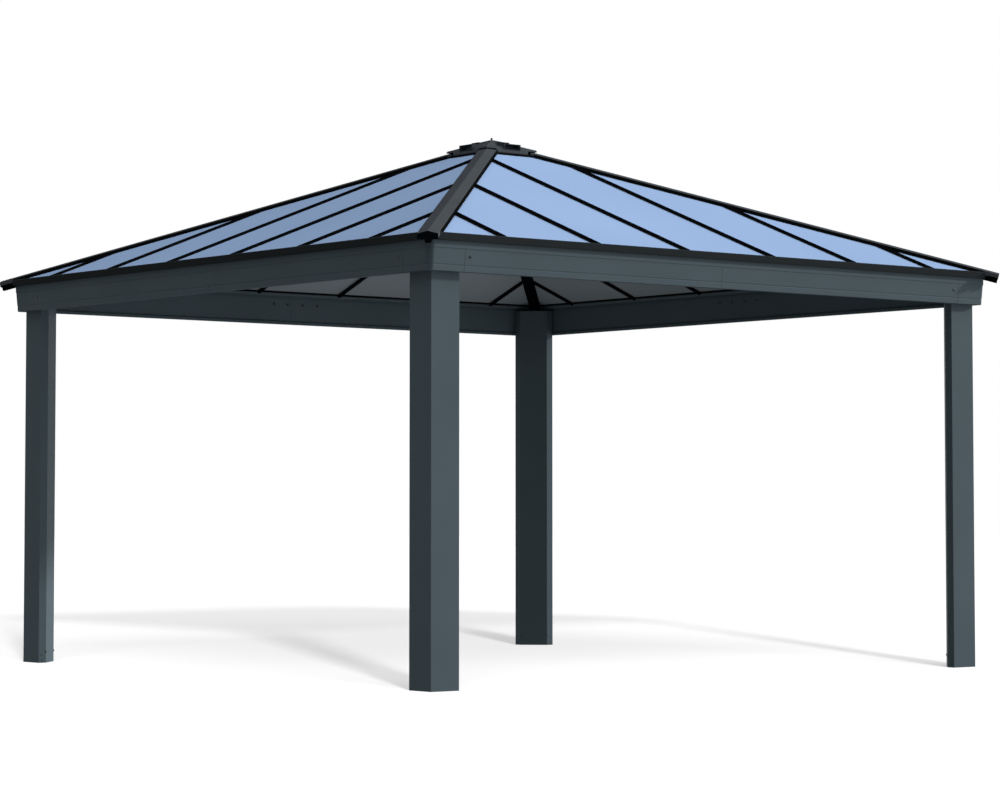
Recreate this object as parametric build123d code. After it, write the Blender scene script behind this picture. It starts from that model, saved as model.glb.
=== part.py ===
from build123d import *
import math
import os

# Square garden gazebo with a hipped, vented roof. Millimetres, +Z up.
# The origin is on the ground at the centre of the plan, and the front faces -Y.

# Posts and feet
POST_HALF = 2022.0
POST_FACE = 181.0
POST_LEG = 50.0
POST_WALL = 3.0
POST_TOP = 2294.0
FOOT_PLATE = 6.0
FOOT_FLANGE_HEIGHT = 90.0
FOOT_FLANGE_WALL = 4.0
FOOT_PLAY = 0.2
ANCHOR_HOLE_RADIUS = 5.5
ANCHOR_EDGE = 42.0
ANCHOR_SPACING = 60.0

# Beams
BEAM_BOTTOM = 2130.0
BEAM_TOP = 2300.0
BEAM_OVERHANG = 44.0
BEAM_WALL = 4.0
BEAM_BACK_WALL = 3.0
BEAM_BACK_INSET = 9.0
BEAM_BACK_STEP = 23.0
BEAM_BACK_BEVEL = 14.0
BEAM_CAVITY_STEP = 42.0
BEAM_SEAM = -50.0
SEAM_GAP = 1.5
CORNER_LEG = 176.0
CORNER_RADIUS = 24.0
SPLICE_HALF = 230.0
SPLICE_WALL = 4.0
SPLICE_BOTTOM = 2160.0
SPLICE_TOP = 2290.0

# Beam's outer profile: distance out from its lower edge, and height over its bottom
BEAM_PROFILE = [(0.0, 0.0), (2.0, 27.0), (0.5, 31.0), (3.5, 37.0), (10.5, 117.0)]

# Strip of the eave rail over the top of that profile, measured the same way
RAIL_STRIP = [(4.0, 117.0), (13.0, 117.0), (14.0, 154.0)]
RAIL_OVERLAP = 18.0
RAIL_NOSE = 5.0
RAIL_GROOVE = 13.0
RAIL_FLOOR = 15.0
RAIL_NOSE_RISE = 6.0

# Roof
PITCH = 21.0
EAVE_HALF = 2112.0
EAVE_TOP = 2316.0
BAR_SPACING = 640.0
BAR_COUNT = 6
BAR_PROUD = 10.0
BAR_CAP_WIDTH = 24.0
BAR_WEB = 8.0
BAR_CHORD_WIDTH = 22.0
BAR_CHORD_DEPTH = 16.0
PANEL_THICKNESS = 10.0
PANEL_PLAY = 0.5
PANEL_SETBACK = 10.0
TRIM_DEPTH = 34.0
TRIM_WALL = 3.0
TRIM_SHEET = 2.0
TRIM_LIP = 14.0
TRIM_RETURN = 24.0

# Hips
HIP_FLANGE_WIDTH = 78.0
HIP_FLANGE_DEPTH = 34.0
HIP_STEM_WIDTH = 30.0
HIP_STEM_DEPTH = 51.0
HIP_RIB_WIDTH = 16.0
HIP_COVER_WIDTH = 108.0
HIP_COVER_RISE = 10.0
HIP_COVER_WALL = 2.5
HIP_TIP_HALF = 2130.0
HIP_COVER_END_HALF = 170.0
HIP_CAP_WALL = 4.0
HIP_CAP_DEPTH = 32.0

# Peak
HUB_HALF = 150.0
HUB_WALL = 30.0
HUB_BOTTOM = 3008.0
HUB_TOP = 3078.0
SKIRT_HALF = 205.0
SKIRT_SHOULDER = 3053.0
SKIRT_TOP_HALF = 196.0
SKIRT_TOP = 3070.0
SKIRT_WALL = 5.0
ARCH_GAP = 10.0
ARCH_MARGIN = 8.0
ARCH_END_HALF = 160.0
CAP_SHOULDER_HALF = 190.0
CAP_SHOULDER = 3081.0
CAP_TOP_HALF = 50.0
CAP_TOP = 3131.0
CAP_CROWN = 3134.0
CAP_PEAK_HALF = 12.0
CAP_PEAK = 3146.0
CAP_WALL = 4.0
FINIAL_STEM_RADIUS = 4.5
FINIAL_BALL_RADIUS = 7.0
FINIAL_TOP = 3161.0

# Louvre hoods of each face: half width, distance of the mouth, base, sill and head of the opening
LOUVRES = [(62.0, 200.0, 3070.0, 3072.0, 3100.0), (34.0, 127.0, 3100.0, 3107.0, 3118.0)]
HOOD_WALL = 4.0
HOOD_FLOOR = 12.0
HOOD_RISE = 0.04

slope = math.tan(math.radians(PITCH))
pitch_cos = math.cos(math.radians(PITCH))
pitch_sin = math.sin(math.radians(PITCH))
hip_slope = slope / math.sqrt(2)
hip_angle = math.atan(hip_slope)
hip_fall = hip_slope * math.cos(hip_angle)
hip_tilt_cos = math.cos(math.atan(hip_fall))
beam_half = POST_HALF + BEAM_OVERHANG
panel_depth = BAR_PROUD + PANEL_THICKNESS
cap_fall = (CAP_TOP - CAP_SHOULDER) / (CAP_SHOULDER_HALF - CAP_TOP_HALF)
reach = 3000.0

CORNERS = ["front_left", "front_right", "back_right", "back_left"]
SIDES = ["front", "right", "back", "left"]


def place_corner(piece, name):
    """Turn a piece made at the front left corner to another corner."""
    return Rot(0, 0, 90 * CORNERS.index(name)) * piece


def place_side(piece, name):
    """Bring a piece made on the front to another side."""
    if name == "front":
        return piece
    if name == "back":
        return mirror(piece, about=Plane.XZ)
    right = Rot(0, 0, 90) * piece
    if name == "right":
        return right
    return mirror(right, about=Plane.YZ)


def prism(points, bottom, height):
    """Straight prism on a plan outline."""
    return Pos(0, 0, bottom) * extrude(Polygon(*points, align=None), height, dir=(0, 0, 1))


def roof_height(half):
    """Height of the plane through the bar tops, at a distance from the centre."""
    return EAVE_TOP + slope * (EAVE_HALF - half)


def roof_point(along, depth):
    """Section point of the front roof, by its way up the slope and its depth under the bar tops."""
    out = EAVE_HALF - along * pitch_cos - depth * pitch_sin
    height = EAVE_TOP + along * pitch_sin - depth * pitch_cos
    return (out, height)


def along_eave(points, start, end):
    """Extrude a section of the front side, given as distance out and height, along X."""
    plane = Plane(origin=(start, 0, 0), x_dir=(0, -1, 0), z_dir=(-1, 0, 0))
    return extrude(plane * Polygon(*points, align=None), end - start, dir=(1, 0, 0))


def up_front_slope(points, out_start, out_end):
    """Extrude a section across the slope, given as place along X and depth, up the front roof."""
    upright = Plane(origin=(0, -out_start, roof_height(out_start)), x_dir=(1, 0, 0), z_dir=(0, -1, 0))
    section = [(along, -depth / pitch_cos) for along, depth in points]
    length = (out_start - out_end) / pitch_cos
    return extrude(upright * Polygon(*section, align=None), length, dir=(0, 1, slope))


def along_hip(points, half_start, half_end):
    """Extrude a section square to the front left hip, from its lower end towards the peak."""
    origin = (-half_start, -half_start, roof_height(half_start))
    down_hip = (-1, -1, -slope)
    square = Plane(origin=origin, x_dir=(1, -1, 0), z_dir=down_hip)
    length = (half_start - half_end) * math.sqrt(2 + slope**2)
    return extrude(square * Polygon(*points, align=None), length, dir=(1, 1, slope))


def hip_level(depth, across):
    """Height in the hip's section of a plane parallel to the two roofs."""
    return -depth / hip_tilt_cos - hip_fall * abs(across)


def front_sector(inset):
    """Plan wedge of the front roof, kept back from both hips."""
    apex = -inset * math.sqrt(2)
    far = -reach
    side = reach + apex
    return prism([(0, apex), (-side, far), (side, far)], 0, 2 * reach)


# Posts: hollow corner posts with two outer faces, two leg ends and a diagonal inner face
def post_outline(inset):
    """Pentagon of the front left post, moved inwards by a wall."""
    outer = -POST_HALF + inset
    leg_end = -POST_HALF + POST_FACE - inset
    # The diagonal face moves in by the wall too, which shortens the leg ends.
    leg_inner = POST_HALF - POST_LEG + inset * (math.sqrt(2) - 1)
    return [
        (outer, outer),
        (leg_end, outer),
        (leg_end, -leg_inner),
        (-leg_inner, leg_end),
        (outer, leg_end),
    ]


def make_post():
    shaft = prism(post_outline(0), FOOT_PLATE, POST_TOP - FOOT_PLATE)
    return shaft - prism(post_outline(POST_WALL), FOOT_PLATE, POST_TOP - FOOT_PLATE)


def anchor_places():
    """Plan places of the four anchor holes in the front left foot."""
    first = -POST_HALF + ANCHOR_EDGE
    second = first + ANCHOR_SPACING
    return [(x, y) for x in (first, second) for y in (first, second)]


def make_foot():
    """Base plate with an upstand that fits inside the post's two outer faces."""
    foot = prism(post_outline(0), 0, FOOT_PLATE)
    inset = POST_WALL + FOOT_PLAY
    near = -POST_HALF + inset
    far = -POST_HALF + POST_FACE - inset
    back = near + FOOT_FLANGE_WALL
    flange = [(near, near), (far, near), (far, back), (back, back), (back, far), (near, far)]
    foot += prism(flange, FOOT_PLATE, FOOT_FLANGE_HEIGHT - FOOT_PLATE)
    for x, y in anchor_places():
        foot -= Pos(x, y, FOOT_PLATE / 2) * Cylinder(ANCHOR_HOLE_RADIUS, 2 * FOOT_PLATE)
    return foot


# Beams: a moulded hollow section, cut to length on both sides of an off-centre seam
def from_beam_edge(profile):
    """Section points from offsets to the beam's lower outer edge."""
    return [(beam_half + out, BEAM_BOTTOM + up) for out, up in profile]


beam_inner = POST_HALF + BEAM_BACK_INSET
beam_back = beam_inner + BEAM_BACK_WALL
rail_strip = from_beam_edge(RAIL_STRIP)
rail_foot = rail_strip[0][0]
rail_shelf = rail_strip[-1][1]
beam_section = from_beam_edge(BEAM_PROFILE) + rail_strip[1:] + [
    (rail_foot, rail_shelf),
    (rail_foot, BEAM_TOP),
    (beam_inner, BEAM_TOP),
    (beam_inner, BEAM_BOTTOM + BEAM_BACK_STEP),
    (POST_HALF, BEAM_BOTTOM + BEAM_BACK_BEVEL),
    (POST_HALF, BEAM_BOTTOM),
]
beam_cavity = [
    (beam_back, BEAM_BOTTOM + BEAM_WALL),
    (beam_half - BEAM_WALL, BEAM_BOTTOM + BEAM_WALL),
    (beam_half - BEAM_WALL, BEAM_BOTTOM + BEAM_CAVITY_STEP),
    (beam_half, BEAM_BOTTOM + BEAM_CAVITY_STEP + BEAM_WALL),
    (beam_half, BEAM_TOP - BEAM_WALL),
    (beam_back, BEAM_TOP - BEAM_WALL),
]
corner_end = -POST_HALF + CORNER_LEG


def make_half_beam(start, end):
    return along_eave(beam_section, start, end) - along_eave(beam_cavity, start, end)


def swap_diagonal(piece):
    """Mirror a piece about the front left hip's vertical plane."""
    return mirror(piece, about=Plane(origin=(0, 0, 0), z_dir=(1, -1, 0)))


def make_corner(rafter, rail):
    """Beam corner: two short legs joined by the same section turned about a vertical axis."""
    axis_half = beam_half - CORNER_RADIUS
    leg = make_half_beam(-axis_half, corner_end)
    outside = [(out, height) for out, height in beam_section if out > axis_half]
    outline = outside + [(axis_half, BEAM_TOP), (axis_half, BEAM_BOTTOM)]
    start = Plane(origin=(0, -axis_half, 0), x_dir=(-1, 0, 0), z_dir=(0, 1, 0))
    centre = Axis((-axis_half, -axis_half, 0), (0, 0, 1))
    quarter = revolve(start * Polygon(*outline, align=None), axis=centre, revolution_arc=90)
    return leg + swap_diagonal(leg) + quarter - rafter - rail - swap_diagonal(rail)


def make_splices():
    """Flat plates inside the hollow beams, across each seam."""
    section = [
        (beam_back, SPLICE_BOTTOM),
        (beam_back + SPLICE_WALL, SPLICE_BOTTOM),
        (beam_back + SPLICE_WALL, SPLICE_TOP),
        (beam_back, SPLICE_TOP),
    ]
    plate = along_eave(section, BEAM_SEAM - SPLICE_HALF, BEAM_SEAM + SPLICE_HALF)
    return [place_side(plate, side) for side in SIDES]


# Eaves: a rail on the beams that carries the panels, and a dark trim over the panel ends
rail_inner = POST_HALF - RAIL_OVERLAP
rail_nose = rail_inner - RAIL_NOSE
rail_groove = POST_HALF + RAIL_GROOVE
rail_floor = BEAM_TOP + RAIL_FLOOR


def panel_underside(out):
    return roof_height(out) - panel_depth / pitch_cos


def make_rail():
    """Rail that hooks over the beam: its outer strip covers the top of the beam's face."""
    seat = roof_point(TRIM_RETURN, panel_depth)
    run_down = (seat[1] - rail_shelf) * slope
    section = [(rail_groove, BEAM_TOP), (rail_foot, BEAM_TOP)] + rail_strip + [
        (seat[0] - run_down, rail_shelf),
        seat,
        (rail_inner, panel_underside(rail_inner)),
        (rail_nose, panel_underside(rail_inner) - RAIL_NOSE),
        (rail_nose, rail_floor + RAIL_NOSE_RISE),
        (rail_inner, rail_floor),
        (rail_groove, rail_floor),
    ]
    return along_eave(section, -reach, reach) & front_sector(HIP_FLANGE_WIDTH / 2)


def cover_envelope(rise, margin, end_half):
    """The space above the panels around the hip cover, up to a height over the bar tops."""
    side = HIP_COVER_WIDTH / 2 + margin
    outline = [
        (-side, hip_level(BAR_PROUD, side)),
        (0, hip_level(BAR_PROUD, 0)),
        (side, hip_level(BAR_PROUD, side)),
        (side, hip_level(-rise, side)),
        (0, hip_level(-rise, 0)),
        (-side, hip_level(-rise, side)),
    ]
    return along_hip(outline, HIP_TIP_HALF + HIP_COVER_WIDTH, end_half)


def trim_to_hips(piece, inset, envelope):
    """Cut a front piece at both hips, and clear it of the two hip covers."""
    other = mirror(envelope, about=Plane.YZ)
    return (piece & front_sector(inset)) - envelope - other


def make_trim(envelope):
    profile = [
        (0, -TRIM_SHEET),
        (TRIM_LIP, -TRIM_SHEET),
        (TRIM_LIP, 0),
        (TRIM_WALL, 0),
        (TRIM_WALL, TRIM_DEPTH - TRIM_SHEET),
        (TRIM_RETURN, TRIM_DEPTH - TRIM_SHEET),
        (TRIM_RETURN, TRIM_DEPTH),
        (0, TRIM_DEPTH),
    ]
    section = [roof_point(along, depth) for along, depth in profile]
    return trim_to_hips(along_eave(section, -reach, reach), HIP_FLANGE_WIDTH / 2, envelope)


# Roof skin: glazing bars with clear sheets between them
def bar_places():
    return [(index - (BAR_COUNT - 1) / 2) * BAR_SPACING for index in range(BAR_COUNT)]


def make_bar(place, envelope):
    """One bar: a cap over the sheets, a web between them and a chord under them."""
    cap = BAR_CAP_WIDTH / 2
    web = BAR_WEB / 2
    chord = BAR_CHORD_WIDTH / 2
    chord_bottom = panel_depth + BAR_CHORD_DEPTH
    start = roof_point(TRIM_WALL, 0)[0] - PANEL_SETBACK
    top = [
        (place - cap, 0),
        (place + cap, 0),
        (place + cap, BAR_PROUD),
        (place + web, BAR_PROUD),
        (place + web, panel_depth),
        (place - web, panel_depth),
        (place - web, BAR_PROUD),
        (place - cap, BAR_PROUD),
    ]
    chord_section = [
        (place - chord, panel_depth),
        (place + chord, panel_depth),
        (place + chord, chord_bottom),
        (place - chord, chord_bottom),
    ]
    upper = up_front_slope(top, start, 0)
    lower = up_front_slope(chord_section, rail_nose, 0)
    return trim_to_hips(upper + lower, HIP_FLANGE_WIDTH / 2, envelope)


def make_panels():
    """The seven sheets of one roof side."""
    web = BAR_WEB / 2 + PANEL_PLAY
    places = bar_places()
    edges = [-EAVE_HALF] + places + [EAVE_HALF]
    sector = front_sector(HIP_RIB_WIDTH / 2 + PANEL_PLAY)
    start = roof_point(TRIM_WALL, 0)[0] - PANEL_SETBACK
    sheets = []
    for left, right in zip(edges[:-1], edges[1:]):
        section = [
            (left + web, BAR_PROUD),
            (right - web, BAR_PROUD),
            (right - web, panel_depth),
            (left + web, panel_depth),
        ]
        sheet = up_front_slope(section, start, HUB_HALF)
        sheets += (sheet & sector).solids()
    return sheets


# Hips: rafter, cover and end cap, made on the front left hip
def make_rafter():
    flange = HIP_FLANGE_WIDTH / 2
    stem = HIP_STEM_WIDTH / 2
    rib = HIP_RIB_WIDTH / 2
    cover_under = HIP_COVER_WALL - HIP_COVER_RISE
    half_outline = [
        (stem, -HIP_STEM_DEPTH),
        (stem, -HIP_FLANGE_DEPTH),
        (flange, -HIP_FLANGE_DEPTH),
        (flange, hip_level(panel_depth, flange)),
        (rib, hip_level(panel_depth, rib)),
        (rib, hip_level(cover_under, rib)),
    ]
    outline = half_outline + [(0, hip_level(cover_under, 0))]
    outline += [(-across, level) for across, level in reversed(half_outline)]
    bar = along_hip(outline, HIP_TIP_HALF, 0)
    return bar - hub_block()


def make_hip_cover():
    side = HIP_COVER_WIDTH / 2
    inner = side - HIP_COVER_WALL
    under = HIP_COVER_WALL - HIP_COVER_RISE
    outline = [
        (-side, hip_level(BAR_PROUD, side)),
        (-side, hip_level(-HIP_COVER_RISE, side)),
        (0, hip_level(-HIP_COVER_RISE, 0)),
        (side, hip_level(-HIP_COVER_RISE, side)),
        (side, hip_level(BAR_PROUD, side)),
        (inner, hip_level(BAR_PROUD, inner)),
        (inner, hip_level(under, inner)),
        (0, hip_level(under, 0)),
        (-inner, hip_level(under, inner)),
        (-inner, hip_level(BAR_PROUD, inner)),
    ]
    return along_hip(outline, HIP_TIP_HALF, HIP_COVER_END_HALF)


def make_hip_cap():
    """Dark plate that closes the hip's lower end."""
    side = HIP_COVER_WIDTH / 2
    stem = HIP_STEM_WIDTH / 2
    outline = [
        (-side, -HIP_CAP_DEPTH),
        (-stem, -HIP_CAP_DEPTH),
        (-stem, -HIP_STEM_DEPTH),
        (stem, -HIP_STEM_DEPTH),
        (stem, -HIP_CAP_DEPTH),
        (side, -HIP_CAP_DEPTH),
        (side, hip_level(-HIP_COVER_RISE, side)),
        (0, hip_level(-HIP_COVER_RISE, 0)),
        (-side, hip_level(-HIP_COVER_RISE, side)),
    ]
    step = HIP_CAP_WALL / math.sqrt(2 + slope**2)
    return along_hip(outline, HIP_TIP_HALF + step, HIP_TIP_HALF)


# Peak: hub ring, skirt and louvred cap
def square(half):
    return [(-half, -half), (half, -half), (half, half), (-half, half)]


def hub_block():
    """The hub's outer block, endless upwards, that the rafters butt against."""
    return prism(square(HUB_HALF), 0, 2 * reach)


def make_hub():
    height = HUB_TOP - HUB_BOTTOM
    opening = prism(square(HUB_HALF - HUB_WALL), HUB_BOTTOM, height)
    return prism(square(HUB_HALF), HUB_BOTTOM, height) - opening


def frustum(half, bottom, half_top, top):
    """Square frustum with flat faces."""
    lower = [(x, y, bottom) for x, y in square(half)]
    upper = [(x, y, top) for x, y in square(half_top)]
    outlines = [lower, upper]
    for index in range(len(lower)):
        outlines.append([lower[index - 1], lower[index], upper[index], upper[index - 1]])
    faces = [Face(Wire.make_polygon(outline)) for outline in outlines]
    return Part(Solid(Shell(faces)).wrapped)


def stack(levels):
    """Square frusta on each other, from a list of half widths and heights."""
    solid = Part()
    for below, above in zip(levels[:-1], levels[1:]):
        solid += frustum(*below, *above)
    return solid


def make_skirt(arches):
    """Collar in four lengths that closes the gap between the roof and the cap, open over the hips."""
    inner = SKIRT_HALF - SKIRT_WALL
    foot = roof_height(inner) - BAR_PROUD / pitch_cos
    collar = stack([(SKIRT_HALF, foot), (SKIRT_HALF, SKIRT_SHOULDER), (SKIRT_TOP_HALF, SKIRT_TOP)])
    collar -= stack([(inner, foot), (inner, SKIRT_SHOULDER), (SKIRT_TOP_HALF - SKIRT_WALL, SKIRT_TOP)])
    for arch in arches:
        collar -= arch
    return collar


def cap_surface(half):
    """Height of the cap's sloping faces, at a distance from the centre."""
    return CAP_SHOULDER + cap_fall * (CAP_SHOULDER_HALF - half)


def hood_block(half_width, mouth, bottom, top, cover, sink):
    """Block from a louvre's mouth back to where its top is a cover's depth under the front face."""
    back = (cap_surface(0) - cover - top - HOOD_RISE * mouth) / (cap_fall - HOOD_RISE) - sink
    section = [
        (mouth, bottom),
        (mouth, top),
        (back, top + HOOD_RISE * (mouth - back)),
        (back, cap_surface(back) - 2 * HOOD_WALL),
        (mouth - HOOD_FLOOR, bottom),
    ]
    return along_eave(section, -half_width, half_width)


def make_cap():
    """Low vented pyramid: two tiers of hooded louvres in each face, between plain corners."""
    body = stack([
        (SKIRT_TOP_HALF, SKIRT_TOP),
        (CAP_SHOULDER_HALF, CAP_SHOULDER),
        (CAP_TOP_HALF, CAP_TOP),
        (CAP_TOP_HALF, CAP_CROWN),
        (CAP_PEAK_HALF, CAP_PEAK),
    ])
    air = stack([
        (SKIRT_TOP_HALF - CAP_WALL, SKIRT_TOP),
        (CAP_SHOULDER_HALF - CAP_WALL, CAP_SHOULDER - CAP_WALL),
        (CAP_TOP_HALF - CAP_WALL, CAP_TOP - CAP_WALL),
    ])
    for half_width, mouth, base, sill, head in LOUVRES:
        hood = hood_block(half_width, mouth, base, head + HOOD_WALL, 0, HOOD_WALL)
        opening = hood_block(half_width - HOOD_WALL, mouth, sill, head, HOOD_WALL, 0)
        for side in SIDES:
            body += place_side(hood, side)
            air += place_side(opening, side)
    return body - air + make_finial()


def make_finial():
    """Small ball on a stem at the very top."""
    stem = FINIAL_TOP - FINIAL_BALL_RADIUS - CAP_TOP
    ball = Pos(0, 0, FINIAL_TOP - FINIAL_BALL_RADIUS) * Sphere(FINIAL_BALL_RADIUS)
    return ball + Pos(0, 0, CAP_TOP + stem / 2) * Cylinder(FINIAL_STEM_RADIUS, stem)


def build():
    """Every piece by node name."""
    nodes = {}
    envelope = cover_envelope(2 * HIP_COVER_RISE, 0, 0)
    arch = cover_envelope(HIP_COVER_RISE + ARCH_GAP, ARCH_MARGIN, ARCH_END_HALF)
    arches = [place_corner(arch, name) for name in CORNERS]
    rafter = make_rafter()
    rail = make_rail()
    cover = make_hip_cover()
    hip_cap = make_hip_cap()
    corner = make_corner(rafter, rail)
    post = make_post()
    foot = make_foot()
    for name in CORNERS:
        nodes[f"post_{name}"] = place_corner(post, name)
        nodes[f"foot_{name}"] = place_corner(foot, name)
        nodes[f"beam_corner_{name}"] = place_corner(corner, name)
        nodes[f"hip_rafter_{name}"] = place_corner(rafter, name)
        nodes[f"hip_cover_{name}"] = place_corner(cover, name)
    nodes["hip_end_caps"] = Compound(children=[place_corner(hip_cap, name) for name in CORNERS])

    gap = SEAM_GAP / 2
    first = make_half_beam(corner_end + SEAM_GAP, BEAM_SEAM - gap) - rail
    second = make_half_beam(BEAM_SEAM + gap, -corner_end - SEAM_GAP) - rail
    ends = {"front": ("left", "right"), "back": ("left", "right")}
    ends.update({"right": ("front", "back"), "left": ("front", "back")})
    trim = make_trim(envelope)
    bars = [make_bar(place, envelope) for place in bar_places()]
    sheets = make_panels()
    for side in SIDES:
        nodes[f"beam_{side}_{ends[side][0]}"] = place_side(first, side)
        nodes[f"beam_{side}_{ends[side][1]}"] = place_side(second, side)
        nodes[f"eave_rail_{side}"] = place_side(rail, side)
        nodes[f"glazing_bars_{side}"] = Compound(children=[place_side(bar, side) for bar in bars])
        nodes[f"roof_panels_{side}"] = Compound(children=[place_side(sheet, side) for sheet in sheets])
    nodes["eave_trims"] = Compound(children=[place_side(trim, side) for side in SIDES])
    nodes["beam_splices"] = Compound(children=make_splices())
    nodes["peak_hub"] = make_hub()
    nodes["peak_skirt"] = make_skirt(arches)
    nodes["peak_cap"] = make_cap()
    return nodes


os.makedirs("parts", exist_ok=True)
for node, piece in build().items():
    export_step(piece, f"parts/{node}.step")
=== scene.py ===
import math

import bmesh
import bpy
from mathutils import Matrix, Vector


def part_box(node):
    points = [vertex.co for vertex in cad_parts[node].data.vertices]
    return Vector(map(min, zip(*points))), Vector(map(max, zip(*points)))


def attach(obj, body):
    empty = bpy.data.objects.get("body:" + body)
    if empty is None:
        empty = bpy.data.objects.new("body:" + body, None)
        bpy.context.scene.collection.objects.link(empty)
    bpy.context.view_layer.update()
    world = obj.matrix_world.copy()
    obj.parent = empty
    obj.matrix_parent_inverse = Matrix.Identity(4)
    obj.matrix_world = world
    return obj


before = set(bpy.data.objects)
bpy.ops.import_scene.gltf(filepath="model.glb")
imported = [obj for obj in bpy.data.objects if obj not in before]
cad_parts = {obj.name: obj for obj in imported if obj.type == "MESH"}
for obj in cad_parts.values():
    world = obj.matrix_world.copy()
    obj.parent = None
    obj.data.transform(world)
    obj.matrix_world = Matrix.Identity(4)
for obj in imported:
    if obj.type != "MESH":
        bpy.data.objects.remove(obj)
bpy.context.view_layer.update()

SIDES = ["front", "right", "back", "left"]

# Camera, as the photograph was taken
CAMERA_PLACE = (-11.4224, -14.1748, 0.8959)
CAMERA_YAW = -39.022
CAMERA_PITCH = 3.0825
CAMERA_LENS = 109.234
CAMERA_SHIFT = -0.04937

# Light on the object: a low lamp from the right, and a plain sky
SIDE_DIRECTION = (0.93, -0.35, 0.36)
SIDE_STRENGTH = 3.0
SIDE_SIZE = 4.0
SKY_LEVEL = 0.15
GROUND_LEVEL = 0.30
HORIZON_BLEND = 0.2

# Broad glows in the sky, as (direction, level), and the power of the cosine that they fall off by
GLOWS = [
    ((0.92, -0.39, 0.0), 2.2),
    ((-0.10, 0.0, 0.99), 2.1),
    ((-0.10, -0.99, 0.0), 0.20),
]
GLOW_POWER = 4.0

# Floor: two lamps of its own, one crisp and one broad, and what the camera sees of it
CRISP_DIRECTION = (-0.48, -0.88, 0.27)
CRISP_STRENGTH = 26.0
CRISP_SIZE = 4.0
BROAD_DIRECTION = (-0.48, -0.88, 0.55)
BROAD_STRENGTH = 16.0
BROAD_SIZE = 40.0
FLOOR_HALF = 80.0
FLOOR_DROP = 0.0005
FLOOR_GLOW = 0.51
FLOOR_COLOUR = 0.10

# Finishes, as linear colours
SLATE = (0.062, 0.085, 0.098)
TRIM_DARK = (0.023, 0.027, 0.029)
BAR_BLACK = (0.0025, 0.0030, 0.0045)
COVER_GREY = (0.049, 0.055, 0.062)
CAP_BLACK = (0.003, 0.004, 0.005)
SHEET_TOP = (0.245, 0.350, 0.545)
# The sheets' underside colour is a darker, greyer copy of the top colour: painted shade under the roof
SHEET_UNDER_PAINTED_SHADE = (0.200, 0.230, 0.255)
FASTENER_DARK = (0.020, 0.022, 0.025)
GASKET_BLACK = (0.004, 0.004, 0.004)

# The part of a noise's range that is spread over a finish's two values
NOISE_LOW = 0.3
NOISE_HIGH = 0.7

# Spacing of the flutes in the roof sheets
FLUTE_PITCH = 0.010

# Roof plane through the bar tops, and the depth of the sheets' two faces under it
PITCH = math.radians(21.0)
EAVE_HALF = 2.112
EAVE_TOP = 2.316
SHEET_TOP_DEPTH = 0.010
SHEET_UNDER_DEPTH = 0.020

# Glazing bars: their places along a side, and where the strips on them end
BAR_PLACES = [-1.6, -0.96, -0.32, 0.32, 0.96, 1.6]
BAR_LOWER_END = 2.0975
# Reach from the hip of the black strips beside each hip cover, which are painted shade; the bars' strips are
# mitred there
COVER_SHADE_STRIP_REACH = 0.0600 * math.sqrt(2)

# Depth of the seals' lower faces, just inside the sheets
SEAL_DEPTH = SHEET_TOP_DEPTH + 0.001

# Screw and bolt heads, as (radius, height, hexagonal) steps in shares of the head's own radius
RING_STEPS = 24
SCREW_HEAD = [
    (1.00, 0.00, False),
    (1.00, 0.30, False),
    (0.86, 0.52, False),
    (0.60, 0.62, False),
    (0.46, 0.62, True),
    (0.44, 0.22, True),
]
BOLT_HEAD = [
    (1.55, 0.00, False),
    (1.55, 0.18, False),
    (1.48, 0.24, False),
    (1.00, 0.24, True),
    (1.00, 0.80, True),
    (0.85, 0.92, True),
]

# Mesh clean-up
MERGE_DISTANCE = 1e-6
SHARP_ANGLE = math.radians(30)

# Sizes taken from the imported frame
post_low, post_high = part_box("post_front_left")
POST_HALF = -post_low.x
POST_LEG_END = post_high.x
beam_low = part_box("beam_front_left")[0]
BEAM_OUT = -beam_low.y
BEAM_BOTTOM = beam_low.z


# Shader helpers
class Nodes:
    """A node tree built step by step; each operand is a value or another node's output."""

    def __init__(self, tree):
        self.tree = tree

    def put(self, socket, value):
        if isinstance(value, bpy.types.NodeSocket):
            self.tree.links.new(value, socket)
        else:
            socket.default_value = value

    def node(self, kind, **inputs):
        """Add a node, its inputs given by the sockets' names."""
        made = self.tree.nodes.new(kind)
        for name, value in inputs.items():
            self.put(made.inputs[name.replace("_", " ")], value)
        return made

    def math(self, operation, first, second=0.0):
        made = self.tree.nodes.new("ShaderNodeMath")
        made.operation = operation
        self.put(made.inputs[0], first)
        self.put(made.inputs[1], second)
        return made.outputs[0]

    def cosine(self, direction, towards):
        """Cosine of the angle between two directions."""
        made = self.tree.nodes.new("ShaderNodeVectorMath")
        made.operation = "DOT_PRODUCT"
        self.put(made.inputs[0], direction)
        self.put(made.inputs[1], towards)
        return made.outputs["Value"]

    def span(self, value, low, high, to_low, to_high):
        """Spread a range of values over another range."""
        made = self.tree.nodes.new("ShaderNodeMapRange")
        for index, part in enumerate((value, low, high, to_low, to_high)):
            self.put(made.inputs[index], part)
        return made.outputs[0]

    def seen_directly(self):
        """1 for rays from the camera and for reflections and refractions, 0 for diffuse light."""
        path = self.node("ShaderNodeLightPath")
        total = path.outputs["Is Camera Ray"]
        for name in ("Is Glossy Ray", "Is Transmission Ray"):
            total = self.math("MAXIMUM", total, path.outputs[name])
        return total


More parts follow.
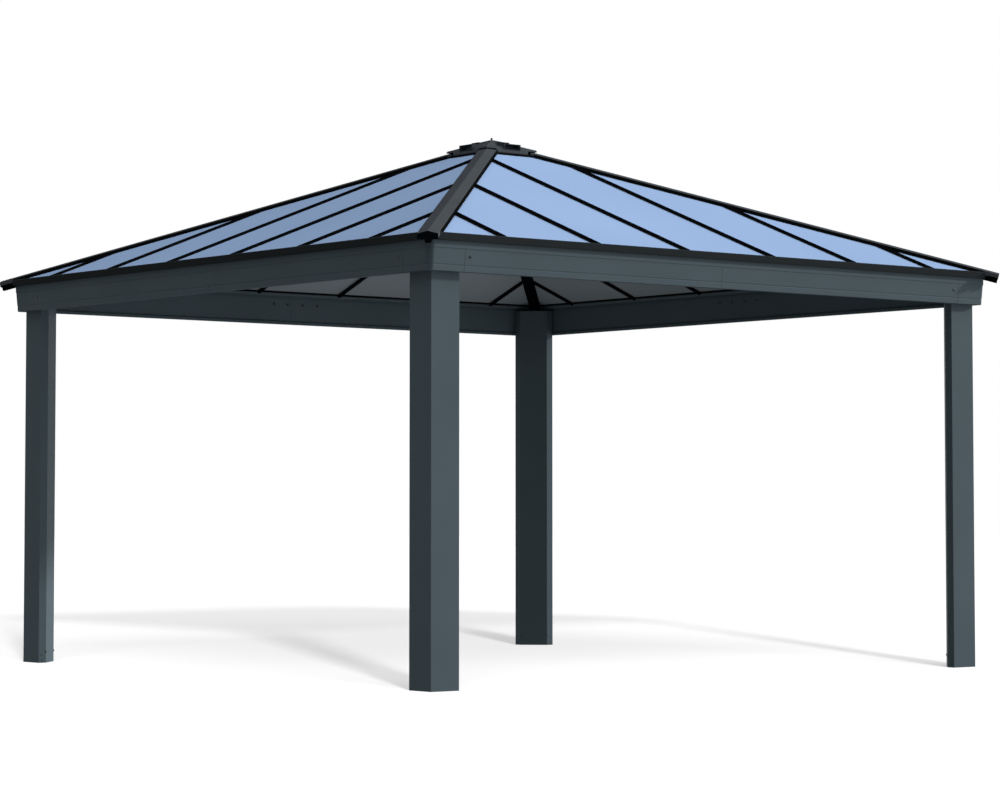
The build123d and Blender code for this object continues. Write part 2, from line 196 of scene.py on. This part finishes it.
class Shader(Nodes):
    """The nodes of a new material."""

    def __init__(self, name):
        self.material = bpy.data.materials.new(name)
        self.material.use_nodes = True
        super().__init__(self.material.node_tree)
        self.tree.nodes.clear()
        self.output = self.node("ShaderNodeOutputMaterial")

    def place(self):
        return self.node("ShaderNodeTexCoord").outputs["Object"]

    def noise(self, scale, detail=3.0):
        """Noise in the object's own metres."""
        return self.node("ShaderNodeTexNoise", Vector=self.place(), Scale=scale, Detail=detail).outputs["Fac"]

    def varied(self, scale, to_low, to_high, detail=3.0):
        """A value that drifts between two others with the noise."""
        return self.span(self.noise(scale, detail), NOISE_LOW, NOISE_HIGH, to_low, to_high)

    def upward(self):
        """How far the surface faces up: 1 for a top, -1 for an underside."""
        facing = self.node("ShaderNodeNewGeometry").outputs["True Normal"]
        return self.node("ShaderNodeSeparateXYZ", Vector=facing).outputs["Z"]

    def mix(self, factor, first, second):
        """Mix two colours, each a tuple or another node's output."""
        made = self.tree.nodes.new("ShaderNodeMix")
        made.data_type = "RGBA"
        self.put(made.inputs["Factor"], factor)
        self.put(made.inputs[6], (*first, 1) if isinstance(first, tuple) else first)
        self.put(made.inputs[7], (*second, 1) if isinstance(second, tuple) else second)
        return made.outputs[2]

    def bump(self, height, distance, strength):
        return self.node("ShaderNodeBump", Height=height, Distance=distance, Strength=strength).outputs[0]

    def finish(self, surface):
        self.put(self.output.inputs["Surface"], surface.outputs[0])
        return self.material

    def principled(self, **inputs):
        """Finish with a principled surface; its plain numbers stay on its own sockets."""
        return self.finish(self.node("ShaderNodeBsdfPrincipled", **inputs))


def scaled(colour, factor):
    return tuple(part * factor for part in colour)


def powder_coat(name, colour, roughness, specular):
    """Powder coat: fine grain, faint clouding, paler specks and fully dull undersides."""
    shader = Shader(name)
    cloud = shader.varied(scale=2.2, detail=4.0, to_low=0.0, to_high=1.0)
    tone = shader.mix(cloud, scaled(colour, 0.95), scaled(colour, 1.05))
    grain = shader.noise(scale=420.0, detail=2.0)
    speck = shader.span(grain, low=0.35, high=0.65, to_low=0.0, to_high=1.0)
    tone = shader.mix(shader.math("MULTIPLY", speck, 0.10), tone, scaled(colour, 1.5))
    rough = shader.varied(scale=38.0, to_low=roughness - 0.04, to_high=roughness + 0.05)
    underside = shader.span(shader.upward(), low=-0.9, high=-0.6, to_low=1.0, to_high=0.0)
    rough = shader.math("MAXIMUM", rough, underside)
    normal = shader.bump(shader.noise(scale=700.0, detail=2.0), distance=0.00012, strength=0.6)
    return shader.principled(Base_Color=tone, Roughness=rough, Normal=normal, Specular_IOR_Level=specular)


def moulded_plastic(name, colour, roughness):
    """Dull moulded plastic or rubber with a fine pebble."""
    shader = Shader(name)
    tone = shader.mix(shader.noise(scale=30.0), scaled(colour, 0.8), scaled(colour, 1.3))
    rough = shader.varied(scale=90.0, to_low=roughness - 0.05, to_high=roughness + 0.05)
    normal = shader.bump(shader.noise(scale=1200.0, detail=2.0), distance=0.0001, strength=0.5)
    return shader.principled(Base_Color=tone, Roughness=rough, Normal=normal, Specular_IOR_Level=0.0)


def plated_steel(name, colour):
    """Dark zinc-plated fastener."""
    shader = Shader(name)
    tone = shader.mix(shader.noise(scale=160.0), scaled(colour, 0.8), scaled(colour, 1.4))
    rough = shader.varied(scale=240.0, to_low=0.32, to_high=0.5)
    return shader.principled(Base_Color=tone, Roughness=rough, Metallic=0.6)


def roof_sheet(name, across):
    """Blue-tinted clear sheet with its flutes running up the slope; its undersides take a darker, greyer copy
    of its colour, which is painted shade under the roof.
    """
    shader = Shader(name)
    # 1 on the tops, 0 on the undersides, which get the painted shade colour
    top_side = shader.span(shader.upward(), low=-0.05, high=0.05, to_low=0.0, to_high=1.0)
    where = shader.node("ShaderNodeSeparateXYZ", Vector=shader.place()).outputs[across]
    flute = shader.math("SINE", shader.math("MULTIPLY", where, 2 * math.pi / FLUTE_PITCH))
    cloud = shader.varied(scale=0.8, detail=2.0, to_low=0.0, to_high=1.0)
    above = shader.mix(cloud, scaled(SHEET_TOP, 0.97), scaled(SHEET_TOP, 1.03))
    painted_shade_below = shader.mix(cloud, scaled(SHEET_UNDER_PAINTED_SHADE, 0.95), scaled(SHEET_UNDER_PAINTED_SHADE, 1.05))
    return shader.principled(
        Base_Color=shader.mix(top_side, painted_shade_below, above),
        Roughness=shader.varied(scale=20.0, to_low=0.30, to_high=0.40),
        Normal=shader.bump(flute, distance=0.00004, strength=0.3),
        Specular_IOR_Level=0.0,
        Alpha=0.97,
    )


# Geometry helpers
def add_form(work, matrix, rings):
    """Closed form through rings of points, capped at both ends."""
    rings = [[work.verts.new(matrix @ Vector(point)) for point in ring] for ring in rings]
    for lower, upper in zip(rings, rings[1:]):
        for index in range(len(lower)):
            work.faces.new((lower[index - 1], lower[index], upper[index], upper[index - 1]))
    work.faces.new(list(reversed(rings[0])))
    work.faces.new(rings[-1])


def add_piece(name, forms, material, bevel=0.0):
    """One object that rides on the frame, made of forms that are each a matrix and its rings."""
    work = bmesh.new()
    for matrix, rings in forms:
        add_form(work, matrix, rings)
    if bevel:
        bmesh.ops.bevel(work, geom=work.edges[:], offset=bevel, segments=2, affect="EDGES")
    bmesh.ops.remove_doubles(work, verts=work.verts, dist=MERGE_DISTANCE)
    bmesh.ops.recalc_face_normals(work, faces=work.faces)
    mesh = bpy.data.meshes.new(name)
    work.to_mesh(mesh)
    work.free()
    mesh.materials.append(material)
    piece = bpy.data.objects.new(name, mesh)
    bpy.context.scene.collection.objects.link(piece)
    for polygon in mesh.polygons:
        polygon.use_smooth = True
    mesh.set_sharp_from_angle(angle=SHARP_ANGLE)
    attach(piece, "root")


def turned(place, normal):
    """Matrix that puts local Z along a normal at a place."""
    return Matrix.Translation(place) @ Vector(normal).to_track_quat("Z", "Y").to_matrix().to_4x4()


def side_turn(side):
    """Turn that brings a thing made on the front to another side."""
    return Matrix.Rotation(math.radians(90 * SIDES.index(side)), 4, "Z")


def mirrored_sides():
    """Matrices from the front to each side, with the off-centre seams where the beams have them."""
    right = side_turn("right")
    back = Matrix.Diagonal((1, -1, 1, 1))
    left = Matrix.Diagonal((-1, 1, 1, 1)) @ right
    return [Matrix.Identity(4), right, back, left]


def roof_level(out, depth):
    """Height in the front roof at a distance from the centre, at a depth square to the slope."""
    return EAVE_TOP + math.tan(PITCH) * (EAVE_HALF - out) - depth / math.cos(PITCH)


def ring_radius(radius, hexagonal, angle):
    """Distance of an outline from its centre: a circle, or a hexagon by its corners."""
    if not hexagonal:
        return radius
    third = math.pi / 3
    return radius * math.cos(third / 2) / math.cos(angle % third - third / 2)


def head_rings(steps, size):
    """Rings round local Z for a screw or bolt head of a given radius."""
    rings = []
    for radius, height, hexagonal in steps:
        ring = []
        for step in range(RING_STEPS):
            angle = 2 * math.pi * step / RING_STEPS
            reach = ring_radius(radius * size, hexagonal, angle)
            ring.append((reach * math.cos(angle), reach * math.sin(angle), height * size))
        rings.append(ring)
    return rings


def side_forms(section, keep_back):
    """A strip of an (out, height) section along each side, mitred at the hips."""
    rings = [[(sign * (out - keep_back), -out, height) for out, height in section] for sign in (-1, 1)]
    return [(side_turn(side), rings) for side in SIDES]


def bar_forms(section):
    """A strip of an (across, depth) section along each glazing bar, mitred to the hip covers."""
    forms = []
    for side in SIDES:
        for place in BAR_PLACES:
            upper = []
            lower = []
            for across, depth in section:
                x = place + across
                mitre = abs(x) + COVER_SHADE_STRIP_REACH
                upper.append((x, -mitre, roof_level(mitre, depth)))
                lower.append((x, -BAR_LOWER_END, roof_level(BAR_LOWER_END, depth)))
            forms.append((side_turn(side), (upper, lower)))
    return forms


# Camera, lights and stage
def make_camera():
    data = bpy.data.cameras.new("camera")
    data.sensor_width = 36.0
    data.lens = CAMERA_LENS
    data.shift_y = CAMERA_SHIFT
    data.clip_end = 200.0
    camera = bpy.data.objects.new("camera", data)
    camera.location = CAMERA_PLACE
    camera.rotation_euler = (math.radians(90 + CAMERA_PITCH), 0, math.radians(CAMERA_YAW))
    bpy.context.scene.collection.objects.link(camera)
    bpy.context.scene.camera = camera


def make_sun(name, direction, strength, size, floor, on_floor):
    """A sun lamp that lights either the floor alone or everything else."""
    data = bpy.data.lights.new(name, "SUN")
    data.energy = strength
    data.angle = math.radians(size)
    lamp = bpy.data.objects.new(name, data)
    lamp.rotation_euler = Vector(direction).to_track_quat("Z", "Y").to_euler()
    bpy.context.scene.collection.objects.link(lamp)
    receivers = bpy.data.collections.new(name + "_receivers")
    receivers.objects.link(floor)
    receivers.collection_objects[0].light_linking.link_state = "INCLUDE" if on_floor else "EXCLUDE"
    lamp.light_linking.receiver_collection = receivers


def make_world():
    """White to the camera and in reflections; for diffuse light, a plain sky with broad glows."""
    world = bpy.data.worlds.new("world")
    bpy.context.scene.world = world
    world.use_nodes = True
    light = Nodes(world.node_tree)
    direction = light.node("ShaderNodeTexCoord").outputs["Generated"]
    height = light.node("ShaderNodeSeparateXYZ", Vector=direction).outputs["Z"]
    sky = light.span(height, -HORIZON_BLEND, HORIZON_BLEND, GROUND_LEVEL, SKY_LEVEL)
    for towards, level in GLOWS:
        ahead = light.math("MAXIMUM", light.cosine(direction, towards), 0.0)
        glow = light.math("MULTIPLY", light.math("POWER", ahead, GLOW_POWER), level)
        sky = light.math("ADD", sky, glow)
    strength = light.span(light.seen_directly(), low=0.0, high=1.0, to_low=sky, to_high=1.0)
    background = world.node_tree.nodes["Background"]
    light.put(background.inputs["Color"], (1, 1, 1, 1))
    light.put(background.inputs["Strength"], strength)


def make_floor():
    """Pale studio floor that keeps the object's shadow and casts no tint on it."""
    corners = [(-1, -1), (1, -1), (1, 1), (-1, 1)]
    mesh = bpy.data.meshes.new("floor")
    mesh.from_pydata([(FLOOR_HALF * x, FLOOR_HALF * y, 0) for x, y in corners], [], [(0, 1, 2, 3)])
    floor = bpy.data.objects.new("floor", mesh)
    floor.location.z = -FLOOR_DROP
    floor.visible_diffuse = False
    bpy.context.scene.collection.objects.link(floor)
    shader = Shader("studio_floor")
    shaded = shader.node("ShaderNodeBsdfDiffuse", Color=(FLOOR_COLOUR, FLOOR_COLOUR, FLOOR_COLOUR, 1))
    level = shader.math("MULTIPLY", shader.seen_directly(), FLOOR_GLOW)
    glow = shader.node("ShaderNodeEmission", Strength=level)
    both = shader.node("ShaderNodeAddShader")
    shader.put(both.inputs[0], shaded.outputs[0])
    shader.put(both.inputs[1], glow.outputs[0])
    mesh.materials.append(shader.finish(both))
    return floor


# Finish of every CAD node
def dress_nodes(bars):
    slate = powder_coat("slate_coat", SLATE, roughness=0.50, specular=0.02)
    trim = powder_coat("trim_dark_coat", TRIM_DARK, roughness=0.55, specular=0.0)
    cover = powder_coat("cover_grey_coat", COVER_GREY, roughness=0.50, specular=0.0)
    black = moulded_plastic("cap_black_plastic", CAP_BLACK, roughness=0.5)
    sheet_x = roof_sheet("roof_sheet_x", "X")
    sheet_y = roof_sheet("roof_sheet_y", "Y")
    by_start = {
        "post": slate,
        "foot": slate,
        "beam": slate,
        "eave_rail": slate,
        "eave_trims": trim,
        "glazing_bars": bars,
        "hip_rafter": bars,
        "peak_hub": bars,
        "hip_cover": cover,
        "peak_skirt": cover,
        "peak_cap": cover,
        "hip_end_caps": black,
        "roof_panels_front": sheet_x,
        "roof_panels_back": sheet_x,
        "roof_panels_left": sheet_y,
        "roof_panels_right": sheet_y,
    }
    for name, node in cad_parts.items():
        for start, material in by_start.items():
            if name.startswith(start):
                for slot in node.material_slots:
                    slot.material = material


# Fasteners
def make_beam_screws(steel):
    """Socket screws beside each corner, on the beams' outer faces."""
    along = 1.809
    out = BEAM_OUT - 0.0037
    height = BEAM_BOTTOM + 0.077
    head = head_rings(SCREW_HEAD, size=0.007)
    forms = []
    for matrix in mirrored_sides():
        for sign in (-1, 1):
            forms.append((matrix @ turned((sign * along, -out, height), (0, -1, 0)), head))
    add_piece("beam_screws", forms, steel)


def make_splice_bolts(steel):
    """Bolts through the inner faces that hold the splice plates."""
    places = (-0.177, -0.072, 0.048, 0.165)
    out = POST_HALF + 0.009
    height = BEAM_BOTTOM + 0.129
    head = head_rings(BOLT_HEAD, size=0.0055)
    forms = []
    for matrix in mirrored_sides():
        for along in places:
            forms.append((matrix @ turned((along, -out, height), (0, 1, 0)), head))
    add_piece("splice_bolts", forms, steel)


def make_foot_bolts(steel):
    """Bolt and two screws low on each post's leg ends."""
    bolt = head_rings(BOLT_HEAD, size=0.004)
    screw = head_rings(SCREW_HEAD, size=0.0038)
    heads_by_place = [
        (bolt, 1.973, 0.066),
        (screw, 2.0015, 0.048),
        (screw, 1.998, 0.015),
    ]
    swap = Matrix(((0, 1, 0, 0), (1, 0, 0, 0), (0, 0, 1, 0), (0, 0, 0, 1)))
    forms = []
    for side in SIDES:
        for hand in (Matrix.Identity(4), swap):
            for head, out, height in heads_by_place:
                place = turned((POST_LEG_END, -out, height), (1, 0, 0))
                forms.append((side_turn(side) @ hand @ place, head))
    add_piece("foot_bolts", forms, steel)


# Seals, clips, cover strips, and the black strips of painted shade beside the hip covers
def make_panel_seals(rubber):
    """Black seal between each eave rail's inner edge and the sheets over it."""
    inner = 1.9900
    outer = 2.0030
    outer_foot = 2.3345
    rail_nose = [(1.9992, 2.3300), (1.9960, 2.3287), (1.9915, 2.3300)]
    overlap = 0.0002
    keep_back = 0.0552
    section = [(outer, outer_foot), *rail_nose]
    section += [(out, roof_level(out, SHEET_UNDER_DEPTH) + overlap) for out in (inner, outer)]
    add_piece("panel_seals", side_forms(section, keep_back), rubber)


def make_bar_tabs(rubber):
    """Small black clip that hooks each bar's lower end over the rail's nose."""
    half = 0.007
    inner = 1.9935
    outer = 1.9995
    bottom = 2.3185
    top = 2.3380
    outline = [(-outer, bottom), (-inner, bottom), (-inner, top), (-outer, top)]
    forms = []
    for side in SIDES:
        for place in BAR_PLACES:
            rings = [[(x, y, z) for y, z in outline] for x in (place - half, place + half)]
            forms.append((side_turn(side), rings))
    add_piece("bar_end_tabs", forms, rubber, bevel=0.0012)


def make_skirt_seals(rubber):
    """Black seal on the sheets along the foot of the peak's skirt."""
    inner = 0.2045
    shoulder = 0.2205
    outer = 0.2225
    inner_depth = 0.0005
    shoulder_depth = 0.002
    keep_back = 0.0775
    section = [
        (inner, roof_level(inner, SEAL_DEPTH)),
        (outer, roof_level(outer, SEAL_DEPTH)),
        (shoulder, roof_level(shoulder, shoulder_depth)),
        (inner, roof_level(inner, inner_depth)),
    ]
    add_piece("skirt_seals", side_forms(section, keep_back), rubber)


def make_bar_seals(rubber):
    """Black seal on the sheets along both edges of each glazing bar."""
    near = 0.0119
    far = 0.0225
    slope = 0.006
    top_depth = 0.0015
    edge_depth = 0.0065
    section = [
        (near, SEAL_DEPTH),
        (far, SEAL_DEPTH),
        (far, edge_depth),
        (far - slope, top_depth),
        (near, top_depth),
    ]
    other_edge = [(-across, depth) for across, depth in section]
    add_piece("bar_seals", bar_forms(section) + bar_forms(other_edge), rubber)


def make_bar_caps(coat):
    """Shallow cover strip clipped over the top of each glazing bar."""
    half = 0.0132
    edge = 0.0025
    top = -0.0035
    section = [(-half, edge), (-half, top + edge), (edge - half, top)]
    section += [(-across, depth) for across, depth in reversed(section)]
    add_piece("bar_cover_strips", bar_forms(section), coat)


def make_cover_shade_strips(rubber):
    """Black strip on the sheets along both edges of each hip cover, where the covers' walls fall into shade:
    painted shade.
    """
    near = 0.0541 * math.sqrt(2)
    far = COVER_SHADE_STRIP_REACH
    top_depth = -0.0085
    edge_drop = 0.006
    edge_width = 0.003
    ends = (0.226, 2.105)
    rings = []
    for out in ends:
        low = roof_level(out, SEAL_DEPTH)
        high = roof_level(out, top_depth)
        section = [(near, low), (far, low), (far, high - edge_drop), (far - edge_width, high), (near, high)]
        rings.append([(out - x, -out, z) for x, z in section])
    forms = []
    for side in SIDES:
        for sign in (-1, 1):
            forms.append((side_turn(side) @ Matrix.Diagonal((sign, 1, 1, 1)), rings))
    add_piece("cover_shade_strips", forms, rubber)


bpy.context.scene.view_settings.view_transform = "Standard"
make_camera()
make_world()
studio_floor = make_floor()
make_sun("side_lamp", SIDE_DIRECTION, SIDE_STRENGTH, SIDE_SIZE, studio_floor, False)
make_sun("crisp_lamp", CRISP_DIRECTION, CRISP_STRENGTH, CRISP_SIZE, studio_floor, True)
make_sun("broad_lamp", BROAD_DIRECTION, BROAD_STRENGTH, BROAD_SIZE, studio_floor, True)
bar_coat = powder_coat("bar_black_coat", BAR_BLACK, roughness=0.60, specular=0.0)
dress_nodes(bar_coat)
fastener_steel = plated_steel("fastener_steel", FASTENER_DARK)
seal_rubber = moulded_plastic("seal_rubber", GASKET_BLACK, roughness=0.6)
make_beam_screws(fastener_steel)
make_splice_bolts(fastener_steel)
make_foot_bolts(fastener_steel)
make_panel_seals(seal_rubber)
make_bar_tabs(seal_rubber)
make_skirt_seals(seal_rubber)
make_bar_seals(seal_rubber)
make_bar_caps(bar_coat)
make_cover_shade_strips(seal_rubber)
